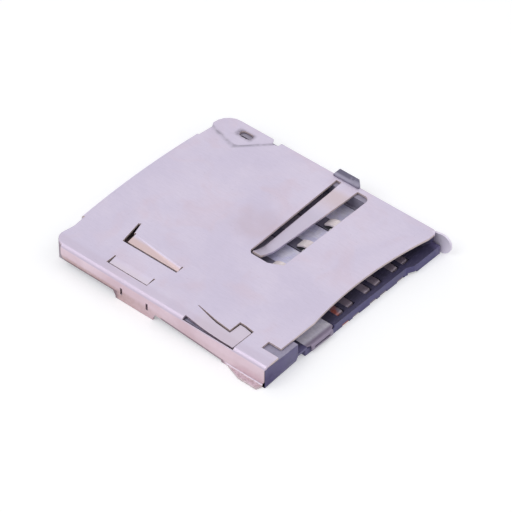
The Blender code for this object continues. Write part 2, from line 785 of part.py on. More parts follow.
def front_foot():
    """Toe of the left wall at the front, turned outwards onto the board."""
    x = -COVER_X + SHEET / 2
    corners = [(x, WALL_BOTTOM), (x, SHEET / 2), (x - FRONT_FOOT_TOE, SHEET / 2)]
    spans = [
        (x - FRONT_FOOT_TOE, FRONT + 2 * SHEET, FRONT + FRONT_FOOT_LENGTH - FOOT_TAPER),
        (x, FRONT + SHEET, FRONT + FRONT_FOOT_ROOT),
    ]
    path = round_path(corners, BEND_RADIUS - SHEET / 2)
    return strip("toe", path, spans, JOINED_SHEET, "X")


def front_ear():
    """Rounded end of the right wall, which guides the card in beyond the cover's edge."""
    start = FRONT + FRONT_CORNER_CUT + FIT
    edge = arc_through(
        (FRONT - 0.12 * EAR_REACH, EAR_TOP),
        (FRONT - EAR_REACH, 0.6 * EAR_TOP),
        (FRONT - 0.4 * EAR_REACH, HAIR),
        EDGE_STEPS,
    )
    outline = [(start, EAR_TOP - BEND_RADIUS / 3), *edge, (start, HAIR)]
    slope = EAR_FLARE / (start - FRONT + EAR_REACH)
    return loft(
        "ear",
        [
            [(x + slope * (start - y), y, z) for y, z in outline]
            for x in (COVER_X - SHEET + HAIR, COVER_X - HAIR)
        ],
    )


def make_shell(finish):
    shell = cover_body()
    join(shell, corner_pad())
    flap_slit, flap_leg, flap = slider_flap()
    lock_slit, lock = lock_tab()
    leaf_opening, leaf = pin_leaf()
    below = CEILING - BEND_RADIUS
    above = TOP + PAST
    for name, outline in (
        ("window", window_outline()),
        ("flap_slit", flap_slit),
        ("flap_leg", flap_leg),
        ("lock_slit", lock_slit),
        ("leaf_opening", leaf_opening),
    ):
        cut(shell, prism(name, outline, below, above))
    join(shell, card_spring(), flap, lock, leaf)
    inner = COVER_X - SHEET - COVER_GAP / 2
    outer = COVER_X + PAST
    for i, outline in enumerate(left_wall_cuts()):
        cut(shell, prism(f"left_cut_{i}", outline, -outer, -inner, "X"))
    right_rear, right_middle, port = right_wall_cuts()
    cut(shell, prism("right_rear", right_rear, inner, outer, "X"))
    cut(shell, prism("right_middle", right_middle, inner, outer, "X"))
    cut(shell, prism("port", port, COVER_X - BEND_RADIUS - FIT, outer, "X"))
    gaps = (
        (-REAR_FOLD_HALF - PAST, -REAR_FOOT_X - REAR_FOOT_WIDTH / 2),
        (-REAR_FOOT_X + REAR_FOOT_WIDTH / 2, REAR_FOOT_X - REAR_FOOT_WIDTH / 2),
        (REAR_FOOT_X + REAR_FOOT_WIDTH / 2, REAR_FOLD_HALF + PAST),
    )
    for i, gap in enumerate(gaps):
        rear_span = (BASE_REAR, REAR + REAR_BOW + PAST)
        cut(shell, block(f"rear_gap_{i}", gap, rear_span, (-PAST, WALL_BOTTOM)))
    join(shell, front_foot(), front_ear())
    finish_piece(shell, finish)
    return shell


def row_x(row):
    """Middle of a contact row."""
    return FIRST_ROW_X + ROW_PITCH * row


def front_contact_spans(row):
    x = row_x(row)
    near = x - CONTACT_PAIR_GAP / 2
    root = FRONT_TIP_Y - BEAM_LENGTH
    beam = (x - CONTACT_BEAM / 2, x + CONTACT_BEAM / 2)
    return [
        (FRONT + FIT, near - CONTACT_TAIL, near),
        (root - 3 * SPAN_STEP, near - CONTACT_TAIL, near),
        (root, *beam),
        (FRONT_TIP_Y + TIP_END, *beam),
    ]


def rear_contact_spans(row):
    """The carrier of a rear contact runs beside the front contact, then widens to a plate."""
    x = row_x(row)
    near = x + CONTACT_PAIR_GAP / 2
    beam = (x - CONTACT_BEAM / 2, x + CONTACT_BEAM / 2)
    carrier = beam[1] + CARRIER_GAP
    plate = carrier + PLATE_WIDTH
    root = REAR_TIP_Y - BEAM_LENGTH - SPAN_STEP
    bridge = root - BRIDGE_WIDTH
    widen = FRONT_TIP_Y - BEAM_LENGTH - SPAN_STEP
    plate_front = FRONT_TIP_Y + SPAN_STEP
    wide = carrier + CARRIER_WIDTH
    return [
        (FRONT + FIT, near, near + CONTACT_TAIL),
        (widen - 4 * SPAN_STEP, near, near + CONTACT_TAIL),
        (widen, carrier, wide),
        (plate_front - SPAN_STEP, carrier, wide),
        (plate_front, carrier, plate),
        (bridge - 2 * SPAN_STEP, carrier, plate),
        (bridge - SPAN_STEP, carrier, wide),
        (bridge, beam[0], wide),
        (root, beam[0], wide),
        (root + SPAN_STEP, *beam),
        (REAR_TIP_Y + TIP_END, *beam),
    ]


def contact_path(tip):
    """Side view of a contact: board tail, hook over the lip, carrier, beam and tip."""
    leg = FRONT + TAIL_INSET
    return [
        (FRONT + FIT, TAIL_LEVEL),
        (leg, TAIL_LEVEL),
        (leg, CARRIER_LEVEL),
        (tip - BEAM_LENGTH, CARRIER_LEVEL),
        (tip - TIP_ROUND, TIP_HEIGHT - 0.15 * TIP_RISE),
        (tip, TIP_HEIGHT),
        (tip + TIP_END / 2, TIP_HEIGHT - 0.2 * TIP_RISE),
        (tip + TIP_END, TIP_HEIGHT - 0.6 * TIP_RISE),
    ]


def make_contact(name, tip, spans, finish):
    path = round_path(contact_path(tip), CONTACT_BEND, BEND_STEPS)
    contact = strip(name, path, spans, CONTACT_THICKNESS)
    finish_piece(contact, finish)
    return contact


def switch_spans():
    plate = FRONT + SWITCH_PLATE_LENGTH
    low = SWITCH_X - SWITCH_PLATE_WIDTH / 2
    high = SWITCH_RIGHT
    tail = (SWITCH_X - SWITCH_WIDTH / 2, SWITCH_X + SWITCH_WIDTH / 2)
    return [
        (FRONT - FIT - CONTACT_THICKNESS, low + SWITCH_TAB_INSET, high - SWITCH_TAB_INSET),
        (FRONT, low + SWITCH_TAB_INSET, high - SWITCH_TAB_INSET),
        (FRONT + SPAN_STEP, low, high),
        (plate, low, high),
        (plate + SPAN_STEP, *tail),
        (SWITCH_TIP_Y + SWITCH_LAP, *tail),
    ]


def make_terminal(finish):
    """Fixed plate of the card switch, with a slotted tab folded down in front of the base."""
    face = FRONT - FIT - CONTACT_THICKNESS / 2
    path = [
        (face, SWITCH_TAB_LOW),
        (face, CARRIER_LEVEL),
        (SWITCH_TIP_Y - 2 * SWITCH_LAP, CARRIER_LEVEL),
        (SWITCH_TIP_Y - 1.2 * SWITCH_LAP, SWITCH_LEVEL),
        (SWITCH_TIP_Y + SWITCH_LAP, SWITCH_LEVEL),
    ]
    path = round_path(path, CONTACT_THICKNESS, BEND_STEPS)
    terminal = strip("detect_terminal", path, switch_spans(), CONTACT_THICKNESS)
    across = (SWITCH_X - SWITCH_SLOT / 2, SWITCH_X + SWITCH_SLOT / 2)
    through = (FRONT - PAST, FRONT - FIT / 2)
    height = (SWITCH_TAB_LOW + SPAN_STEP, FLOOR_TOP - 2 * SPAN_STEP)
    cut(terminal, block("slot", across, through, height))
    finish_piece(terminal, finish)
    return terminal


def make_blade(finish):
    """Sprung blade of the card switch, which the card presses onto the terminal."""
    rear = BASE_REAR + SHEET + REAR_BOW + COVER_GAP
    leg = BASE_REAR - SPAN_STEP
    path = [
        (rear, TAIL_LEVEL),
        (leg, TAIL_LEVEL),
        (leg, CARRIER_LEVEL),
        (SWITCH_TIP_Y + SWITCH_BLADE_ROOT, CARRIER_LEVEL),
        (SWITCH_TIP_Y + 0.25 * TIP_RISE, TIP_HEIGHT - 0.25 * TIP_RISE),
        (SWITCH_TIP_Y - 0.6 * TIP_RISE, TIP_HEIGHT - 0.6 * TIP_RISE),
    ]
    edges = (SWITCH_X - SWITCH_WIDTH / 2, SWITCH_X + SWITCH_WIDTH / 2)
    spans = [(SWITCH_TIP_Y, *edges), (rear, *edges)]
    path = round_path(path, CONTACT_THICKNESS, BEND_STEPS)
    blade = strip("detect_blade", path, spans, CONTACT_THICKNESS)
    finish_piece(blade, finish)
    return blade


def undercut(face, depth):
    """Section of a slanted cut along the lower edge of a face, as (distance, z)."""
    slope = depth / UNDERCUT_HEIGHT
    return [
        (face + depth + slope * PAST, -PAST),
        (face - slope * PAST, UNDERCUT_HEIGHT + PAST),
        (face - slope * PAST - PAST, -PAST),
    ]


def base_blank():
    """Base with its card bay, ejector channel, nose and boss."""
    nose = BASE_X - NOSE_WIDTH
    outline = [(-BASE_X, FRONT), (nose - NOSE_REACH * 2, FRONT), (nose, FRONT - NOSE_REACH)]
    outline += [(BASE_X, FRONT - NOSE_REACH), (BASE_X, BASE_REAR - PAD_RADIUS)]
    outline += corner((BASE_X - PAD_RADIUS, BASE_REAR - PAD_RADIUS), PAD_RADIUS, 0, 90)
    outline += [(-BASE_X + BASE_CORNER, BASE_REAR), (-BASE_X, BASE_REAR - BASE_CORNER)]
    base = prism("housing", outline, 0.0, BASE_TOP)
    mouth = FRONT - NOSE_REACH - PAST
    bay = [
        (BAY_LEFT, mouth),
        (BAY_RIGHT, mouth),
        (BAY_RIGHT, BAY_REAR - CARD_CORNER),
        (BAY_RIGHT - CARD_CORNER, BAY_REAR),
        (BAY_LEFT, BAY_REAR),
    ]
    above = BASE_TOP + PAST
    cut(base, prism("bay", bay, FLOOR_TOP, above))
    channel = (CHANNEL_LEFT, CHANNEL_RIGHT)
    cut(base, block("channel", channel, (BLOCK_REAR, BAY_REAR), (CHANNEL_FLOOR, above)))
    flare = [
        (BAY_RIGHT - PAST, mouth),
        (BASE_X + PAST, mouth),
        (BASE_X + PAST, FRONT + MOUTH_FLARE),
        (BASE_X, FRONT + MOUTH_FLARE),
        (BAY_RIGHT, FRONT + 2 * MOUTH_FLARE),
        (BAY_RIGHT - PAST, FRONT + 2 * MOUTH_FLARE),
    ]
    cut(base, prism("flare", flare, FLOOR_TOP, above))
    left = undercut(-BASE_X, SIDE_UNDERCUT)
    cut(base, prism("side_undercut", left, FRONT - PAST, REAR + PAST, "Y"))
    front = undercut(FRONT, FRONT_UNDERCUT)
    front_end = SWITCH_X - SWITCH_PLATE_WIDTH / 2 - 2 * SPAN_STEP
    cut(base, prism("front_undercut", front, -BASE_X - PAST, front_end, "X"))
    return base


def slider_ways(base):
    """Openings for the slider's finger beside the bay and for its end in the rear wall."""
    above = BASE_TOP + PAST
    beside = (CHANNEL_RIGHT - PAST, BAY_LEFT + HAIR)
    along = (FINGER_FRONT - FINGER_PLAY, BAY_REAR)
    cut(base, block("finger_way", beside, along, (FLOOR_TOP, above)))
    through = (BAY_REAR - PAST, BASE_REAR + PAST)
    arm_side = ARM_LEFT - SLIDE
    finger_side = FINGER_RIGHT + SLIDE
    cut(base, block("finger_exit", (arm_side, finger_side), through, (FLOOR_TOP, above)))
    cut(base, block("arm_exit", (arm_side, CHANNEL_RIGHT), through, (CHANNEL_FLOOR, above)))


def add_boss(base):
    """Boss on the right wall, which stands proud of the cover but stays clear below its top."""
    front = FRONT + BOSS_FRONT
    rear = front + BOSS_LENGTH
    left = BAY_RIGHT + BOSS_ROOT
    right = COVER_X + BOSS_OUT
    top = TOP + BOSS_RISE
    outline = [
        (left, front),
        (right - BOSS_CHAMFER, front),
        (right, front + BOSS_CHAMFER),
        (right, rear),
        (left, rear),
    ]
    boss = prism("boss", outline, top - BOSS_HEIGHT, top)
    across = (left - PAST, COVER_X - BEND_RADIUS - FIT / 2)
    along = (front - PAST, rear + PAST)
    cut(boss, block("under_cover", across, along, (BASE_TOP, top + PAST)))
    join(base, boss)


def contact_seats(base):
    """Grooves, windows and tail slots for the contacts."""
    leg_front = FRONT + LIP
    leg_rear = FRONT + TAIL_INSET + CONTACT_THICKNESS / 2 + 2 * FIT
    under = CONTACT_THICKNESS + FIT
    above = FLOOR_TOP + FIT
    for row in range(CONTACT_ROWS):
        for spans, tip in (
            (front_contact_spans(row), FRONT_TIP_Y),
            (rear_contact_spans(row), REAR_TIP_Y),
        ):
            seat = [(leg_front, *spans[0][1:])] + spans[1:]
            seat[-1] = (tip + TIP_END + SLIDE, *spans[-1][1:])
            cut(base, prism("seat", outline_of_spans(seat, FIT), CARRIER_SEAT, above))
            low, high = spans[0][1] - FIT, spans[0][2] + FIT
            cut(base, block("leg", (low, high), (leg_front, leg_rear), (-PAST, above)))
            cut(base, block("tail", (low, high), (FRONT - PAST, leg_rear), (-PAST, under)))
            beam = (spans[-1][1] - FIT, spans[-1][2] + FIT)
            reach = (tip - BEAM_LENGTH / 2, tip + TIP_END + SLIDE)
            cut(base, block("beam_window", beam, reach, (-PAST, above)))


def switch_seats(base):
    """Groove for the terminal and the blade, the pit where they meet and the blade's leg."""
    half = SWITCH_WIDTH / 2 + FIT
    across = (SWITCH_X - half, SWITCH_X + half)
    above = FLOOR_TOP + FIT
    spans = switch_spans()
    tail = spans[-1][1:]
    seat = [(FRONT - PAST, *spans[2][1:]), *spans[3:5], (BASE_REAR + PAST, *tail)]
    cut(base, prism("switch_seat", outline_of_spans(seat, FIT), CARRIER_SEAT, above))
    pit = (SWITCH_TIP_Y - 2.3 * SWITCH_LAP, SWITCH_TIP_Y + SWITCH_LAP + SLIDE)
    cut(base, block("switch_pit", across, pit, (-PAST, above)))
    leg = (BASE_REAR - SPAN_STEP - CONTACT_THICKNESS / 2 - 2 * FIT, BASE_REAR + PAST)
    cut(base, block("switch_leg", across, leg, (-PAST, above)))


def pin_seat(base):
    """Hole for the cam pin's pivot and the slot in the front block that it swings in."""
    bore = PIN_DIAMETER / 2 + FIT
    hole = circle((LANE_X, PIVOT_Y), bore)
    cut(base, prism("pivot_hole", hole, CHANNEL_FLOOR, BASE_TOP + PAST))
    turn = math.asin(PIN_SWING / PIN_REACH)
    reach = BLOCK_REAR - PIVOT_Y + PAST
    wide = bore + reach * math.tan(turn) + FIT
    slot = [
        (LANE_X - bore, PIVOT_Y),
        (LANE_X + bore, PIVOT_Y),
        (LANE_X + wide, PIVOT_Y + reach),
        (LANE_X - bore, PIVOT_Y + reach),
    ]
    low = PIN_LEVEL - PIN_DIAMETER / 2 - FIT
    cut(base, prism("pin_slot", slot, low, BASE_TOP + PAST))
    ring = circle((LANE_X, PIVOT_Y), bore + SLIDE)
    cut(base, prism("pin_head_room", ring, low, BASE_TOP + PAST))
    left = -COVER_X + BEND_RADIUS / 2 - SLIT
    y = FRONT + LEAF_FRONT
    room = (LEAF_UNDERSIDE - FIT, BASE_TOP + PAST)
    cut(base, block("leaf_room", (left, CHANNEL_LEFT + PAST), (y - SLIT, y + LEAF_LENGTH), room))


def cover_seats(base):
    """Room in the base for what the cover bends down: its corner pad and the slider's flap."""
    above = BASE_TOP + PAST
    pad_x = (COVER_X - PAD_WIDTH - 2 * PAD_LAP, COVER_X)
    pad_y = (REAR - PAD_LENGTH - RELIEF, REAR)
    cut(base, block("pad_room", pad_x, pad_y, (CEILING - PAD_DROP - COVER_GAP, above)))
    flap_x = (BAY_LEFT - COVER_GAP, BAY_LEFT + FLAP_WIDTH)
    flap_y = (FRONT + FLAP_FRONT - SLIT, FRONT + FLAP_FRONT + FLAP_LENGTH + SLIT)
    cut(base, block("flap_room", flap_x, flap_y, (CEILING - FLAP_DROP - SLIDE, above)))


def spring_post(low, high):
    """Post that keeps an end of the spring in line."""
    return prism("post", circle((SPRING_X, SPRING_LEVEL), SPRING_POST / 2), low, high, "Y")


def make_housing(finish):
    base = base_blank()
    slider_ways(base)
    add_boss(base)
    cover_seats(base)
    contact_seats(base)
    switch_seats(base)
    pin_seat(base)
    join(base, spring_post(BAY_REAR - SPRING_POST_LENGTH, BAY_REAR + FIT))
    finish_piece(base, finish)
    return base


def heart_groove():
    """Track in the top of the slider: two lanes, joined at both ends, round the heart."""
    lane = PIN_DIAMETER / 2 + SLIDE
    far = LANE_X + PIN_SWING
    rear = PIN_TIP_Y + lane
    drop = PIN_REACH - math.sqrt(PIN_REACH**2 - PIN_SWING**2)
    front = PIN_TIP_Y - TRAVEL - lane - drop
    track = [(LANE_X - lane, front), (far + lane, front), (far + lane, rear)]
    track += [(LANE_X - lane, rear)]
    left = LANE_X + lane
    right = far - lane
    middle = (left + right) / 2
    nose = rear - 2 * lane - drop - SLIDE
    shoulder = nose - HEART_NOSE
    latch = PIN_TIP_Y - TRAVEL + LATCH_PLAY + PIN_DIAMETER / 2
    horn = latch - HORN
    heart = [
        (middle, nose),
        (left, shoulder),
        (left, horn + HORN / 2),
        (left + HORN / 2, horn),
        (middle, latch),
        (right - HORN / 2, horn - HORN / 2),
        (right, horn),
        (right, shoulder),
    ]
    groove = prism("groove", track, GROOVE_FLOOR, CAM_TOP + PAST)
    return cut(groove, prism("heart", heart, GROOVE_FLOOR - PAST, CAM_TOP + 2 * PAST))


def make_slider(finish):
    """Cam block with the heart groove, and the arm whose finger the card pushes."""
    side = [(CAM_FRONT, SLIDER_BOTTOM), (FINGER_REAR, SLIDER_BOTTOM)]
    side += [(FINGER_REAR, SLIDER_ARM_TOP), (CAM_REAR + ARM_RAMP, SLIDER_ARM_TOP)]
    side += [(CAM_REAR + ARM_RAMP / 2, CAM_TOP), (CAM_FRONT, CAM_TOP)]
    slider = prism("slider", side, SLIDER_LEFT, SLIDER_RIGHT, "X")
    beside_arm = (SLIDER_LEFT - PAST, ARM_LEFT)
    behind_cam = (CAM_REAR, FINGER_REAR + PAST)
    cut(slider, block("spring_room", beside_arm, behind_cam, (0.0, TOP)))
    finger_left = SLIDER_RIGHT - FINGER / 2
    finger_outline = [
        (finger_left, FINGER_FRONT),
        (FINGER_RIGHT, FINGER_FRONT),
        (FINGER_RIGHT, FINGER_REAR - FINGER_CHAMFER),
        (FINGER_RIGHT - FINGER_CHAMFER, FINGER_REAR - HAIR),
        (finger_left, FINGER_REAR - HAIR),
    ]
    finger = prism("finger", finger_outline, FLOOR_TOP + SLIDE, SLIDER_ARM_TOP - HAIR)
    join(slider, finger, spring_post(CAM_REAR - FIT, CAM_REAR + SPRING_POST_LENGTH))
    cut(slider, heart_groove())
    finish_piece(slider, finish)
    place_origin(slider, Vector((LANE_X, CAM_FRONT, SLIDER_BOTTOM)))
    return slider


def make_cam_pin(finish):
    """Bent wire: pivot leg in the base, shank under the leaf, tip down in the groove."""
    foot = CHANNEL_FLOOR + FIT
    tip = GROOVE_FLOOR + FIT
    corners = [
        Vector((LANE_X, PIVOT_Y, foot)),
        Vector((LANE_X, PIVOT_Y, PIN_LEVEL)),
        Vector((LANE_X, PIN_TIP_Y, PIN_LEVEL)),
        Vector((LANE_X, PIN_TIP_Y, tip)),
    ]
    path = round_path(corners, 0.75 * PIN_DIAMETER, BEND_STEPS)
    pin = wire("cam_pin", path, PIN_DIAMETER)
    finish_piece(pin, finish)
    place_origin(pin, Vector((LANE_X, PIVOT_Y, PIN_LEVEL)))
    return pin


def make_spring(finish):
    """Compression spring between the slider and the rear wall, with closed end turns."""
    radius = (SPRING_DIAMETER - SPRING_WIRE) / 2
    start = CAM_REAR + FIT + SPRING_WIRE / 2
    end = BAY_REAR - FIT - SPRING_WIRE / 2
    closed = SPRING_CLOSED_TURNS
    lead = 1.15 * SPRING_WIRE
    points = []
    for i in range(SPRING_TURNS * COIL_STEPS + 1):
        turn = i / COIL_STEPS
        if turn < closed:
            y = start + lead * turn
        elif turn > SPRING_TURNS - closed:
            y = end - lead * (SPRING_TURNS - turn)
        else:
            share = (turn - closed) / (SPRING_TURNS - 2 * closed)
            y = start + lead * closed + share * (end - start - 2 * lead * closed)
        x = SPRING_X + radius * math.cos(math.tau * turn)
        z = SPRING_LEVEL + radius * math.sin(math.tau * turn)
        points.append(Vector((x, y, z)))
    spring = wire("eject_spring", points, SPRING_WIRE, COIL_SIDES)
    finish_piece(spring, finish)
    return spring


def place_origin(piece, point):
    """Moves a finished piece's origin to a point without moving its mesh in the world."""
    piece.data.transform(Matrix.Translation(-point))
    piece.location = point


def main():
    clear_scene()
    steel = material("cover_steel", (0.62, 0.57, 0.66), 0.38, 1.0)
    resin = material("base_resin", (0.045, 0.04, 0.075), 0.5, 0.0)
    slider_resin = material("slider_resin", (0.09, 0.085, 0.12), 0.45, 0.0)
    plated = material("contact_metal", (0.55, 0.48, 0.42), 0.3, 1.0)
    spring_steel = material("spring_steel", (0.5, 0.48, 0.5), 0.28, 1.0)
    make_shell(steel)
    make_housing(resin)
    for row in range(CONTACT_ROWS):
        number = row + 1
        make_contact(f"contact_front_{number}", FRONT_TIP_Y, front_contact_spans(row), plated)
        make_contact(f"contact_rear_{number}", REAR_TIP_Y, rear_contact_spans(row), plated)
    make_terminal(plated)
    make_blade(plated)
    make_slider(slider_resin)
    make_cam_pin(spring_steel)
    make_spring(spring_steel)


main()
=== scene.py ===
"""Sim card socket dressed for rendering: materials, finer spring, light, floor and camera.

Lengths are in metres, and the frame is that of the solids: +Z up from the board, +Y the way the
card goes in. A solid's object sits at the origin, so a tint's place in a material is also a
place in the frame.
"""

import math

import bmesh
import bpy
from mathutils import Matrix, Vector

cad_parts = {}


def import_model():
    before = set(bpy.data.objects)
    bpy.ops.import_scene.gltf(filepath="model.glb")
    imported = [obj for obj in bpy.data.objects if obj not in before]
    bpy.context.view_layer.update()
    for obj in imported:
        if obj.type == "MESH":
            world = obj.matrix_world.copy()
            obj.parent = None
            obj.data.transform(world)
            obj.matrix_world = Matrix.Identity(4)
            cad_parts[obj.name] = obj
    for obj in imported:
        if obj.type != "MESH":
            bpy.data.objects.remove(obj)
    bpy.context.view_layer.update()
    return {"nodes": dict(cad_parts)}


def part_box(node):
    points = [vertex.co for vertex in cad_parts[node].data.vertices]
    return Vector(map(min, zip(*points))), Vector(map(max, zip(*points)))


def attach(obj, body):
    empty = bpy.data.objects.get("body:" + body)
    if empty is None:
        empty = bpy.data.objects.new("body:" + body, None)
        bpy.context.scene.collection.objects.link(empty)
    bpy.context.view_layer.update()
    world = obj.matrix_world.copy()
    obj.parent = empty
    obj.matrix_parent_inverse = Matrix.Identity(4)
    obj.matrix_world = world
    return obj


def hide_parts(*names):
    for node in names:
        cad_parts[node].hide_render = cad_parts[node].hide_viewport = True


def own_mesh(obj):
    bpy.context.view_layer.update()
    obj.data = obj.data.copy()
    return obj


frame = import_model()

# Camera, from the photograph's perspective
AZIMUTH = math.radians(-48.735)
ELEVATION = math.radians(41.897)
DISTANCE = 0.204587
LENS = 238.6
SENSOR = 36.0
NEAR_CLIP = 0.01
FAR_CLIP = 10.0
TARGET_HEIGHT = 0.0008
TARGET_RIGHT = 0.000684
TARGET_UP = -0.000736

# Studio
LAMP_DISTANCE = 0.25
SURROUND_LIGHT = 0.62
FLOOR_SIZE = 0.6
FLOOR_DROP = 0.00002
FLOOR_GLOW = 0.33

# Spring, as in the solids
SPRING_TURNS = 13
SPRING_CLOSED = 1.25
SPRING_WIRE = 0.00015
SPRING_LEAD = 1.15 * SPRING_WIRE
WIRE_SIDES = 12
STEPS_PER_TURN = 36

# Levels of the solids
SHEET = 0.00015
COVER_GAP = 0.00005
COVER_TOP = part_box("shell")[1].z
BASE_TOP = COVER_TOP - SHEET - COVER_GAP

# Front face of the base's block, a hair proud of the solid and closed down to the board
BLOCK_FRONT = -0.0086
BLOCK_LEFT = -0.008
BLOCK_RIGHT = -0.00506
UNDERCUT_TOP = 0.00045
UNDERCUT_DEPTH = 0.00036
RIGHT_FOOT_SETBACK = 0.00013
FACE = 0.00001

EDGE_ROUND = 0.00003


def rgb(red, green, blue):
    """Linear colour from sRGB values of 0 to 255."""
    def linear(value):
        value /= 255
        return value / 12.92 if value <= 0.04045 else ((value + 0.055) / 1.055) ** 2.4

    return (linear(red), linear(green), linear(blue), 1.0)


# Numbers of the sockets of a mix node that mixes colours
MIX_SHARE = 0
MIX_FIRST = 6
MIX_SECOND = 7
MIX_RESULT = 2

# Places of the tints. A pair for fade() is where a tint starts and where it is full. A pair for
# band() or region() is the stretch over which it is full.

# Left wall of the cover
WALL_X = (-0.0070, -0.0074)
WALL_LOW_Z = (0.00095, 0.0006)
WALL_DARK_Y = (-0.002, 0.005)
RIM_Z = (0.00064, 0.00056)
RIM_SLOPE = 0.072
RIM_SLOPE_REAR = -0.0004
RIM_STRETCHES = ((-0.0053, -0.0006), (0.0032, 0.0079))
RIM_SOFT = 0.0003
FOLD_Z = (COVER_TOP - 0.00016, COVER_TOP - 0.00005)
FOLD_SOFT = 0.0001
TOE_X = (-0.00801, -0.00806)
TOE_Y = (-0.004, -0.005)

# Lines of the step down to the cover's corner pad: normal in plan, and distance along it
PAD_STEP = ((0.695, 0.719, 0.00827), (0.966, -0.257, 0.00398))
PAD_SHADE = 0.0003

# Painted shade on the cover's top, behind the card window and round the pad's slot: from and to
# along X and Y, and soft length
SHADE_PATCH = ((0.0008, 0.0014), (-0.0006, 0.0004), 0.0018)
SLOT_SHADE = ((0.00695, 0.00725), (0.00575, 0.00665), 0.00035)

# Painted shade and warm reflection on the pressed parts of the cover: from and to along X, soft
# length there, from and to along Y, share of tint, and tint, for the flap, lock tab, leaf, and card
# spring's free half and root
PRESSED = (
    ((-0.0053, -0.0041), 0.0001, (0.0008, 0.0052), 0.85, rgb(208, 184, 182)),
    ((-0.0072, -0.0064), 0.0001, (0.0013, 0.0046), 0.5, rgb(212, 202, 212)),
    ((-0.0079, -0.0058), 0.0001, (-0.0061, -0.0021), 0.5, rgb(208, 196, 206)),
    ((-0.0011, 0.0040), 0.0015, (-0.0030, -0.0010), 0.8, rgb(198, 190, 208)),
    ((0.0062, 0.0078), 0.0018, (-0.0030, -0.0010), 0.8, rgb(206, 190, 196)),
)
PRESSED_Z = (COVER_TOP - 0.00001, COVER_TOP - 0.00008)
PRESSED_SOFT = 0.0001

# Guide ear, and the cut edges between the cover's side walls, both lighter as painted light
EAR_X = (0.0075, 0.0077)
EAR_Y = (-0.0082, -0.0086)
CUT_LEFT_X = (-0.0076, -0.0074)
CUT_RIGHT_X = (0.0076, 0.0074)
CUT_Z = (COVER_TOP - 0.0003, COVER_TOP - 0.0002)

# Base: outer skin, painted paler as lit, and where it is deeper in colour
LIP_Y = (-0.0080, -0.0084)
FLANK_X = (0.0075, 0.0079)
BAY_LEFT_X = (-0.0050, -0.0030)
BAY_RIGHT_X = (0.0076, 0.0072)
BLOCK_END_X = (-0.0055, -0.0079)
BLOCK_END_Z = (0.0013, 0.0003)

# Base: what shows past or through the cover, mostly paler as painted light
CREST_Z = (BASE_TOP - 0.0002, BASE_TOP - 0.00005)
PAD_FADE = 0.0004
LIT_FLOOR_Y = (-0.0040, 0.0010)
LIT_FLOOR_Z = (0.0004, 0.0008)
LIT_FLOOR_SOFT = 0.0001
WINDOW_Y = (-0.0040, -0.0008)
WINDOW_SOFT = 0.0006
WINDOW_SIDE_X = (0.0068, 0.0069)
REAR_CORNER_X = (-0.0070, -0.0073)
REAR_CORNER_Y = (0.0074, 0.0078)
BELOW_FLAP = ((-0.0046, -0.0038), (0.0054, 0.0062), 0.0011)
BOSS_X = (0.0078, 0.0080)

# Contacts and terminal
TAIL_Y = (-0.0066, -0.0074)
TAB_Y = (-0.0082, -0.0085)
UNDER_COVER_Y = (-0.0012, -0.0006)
STAIN_Y = (-0.0086, -0.0075)
STAIN_WIDTH = 0.001
STAIN_SOFT = 0.0003


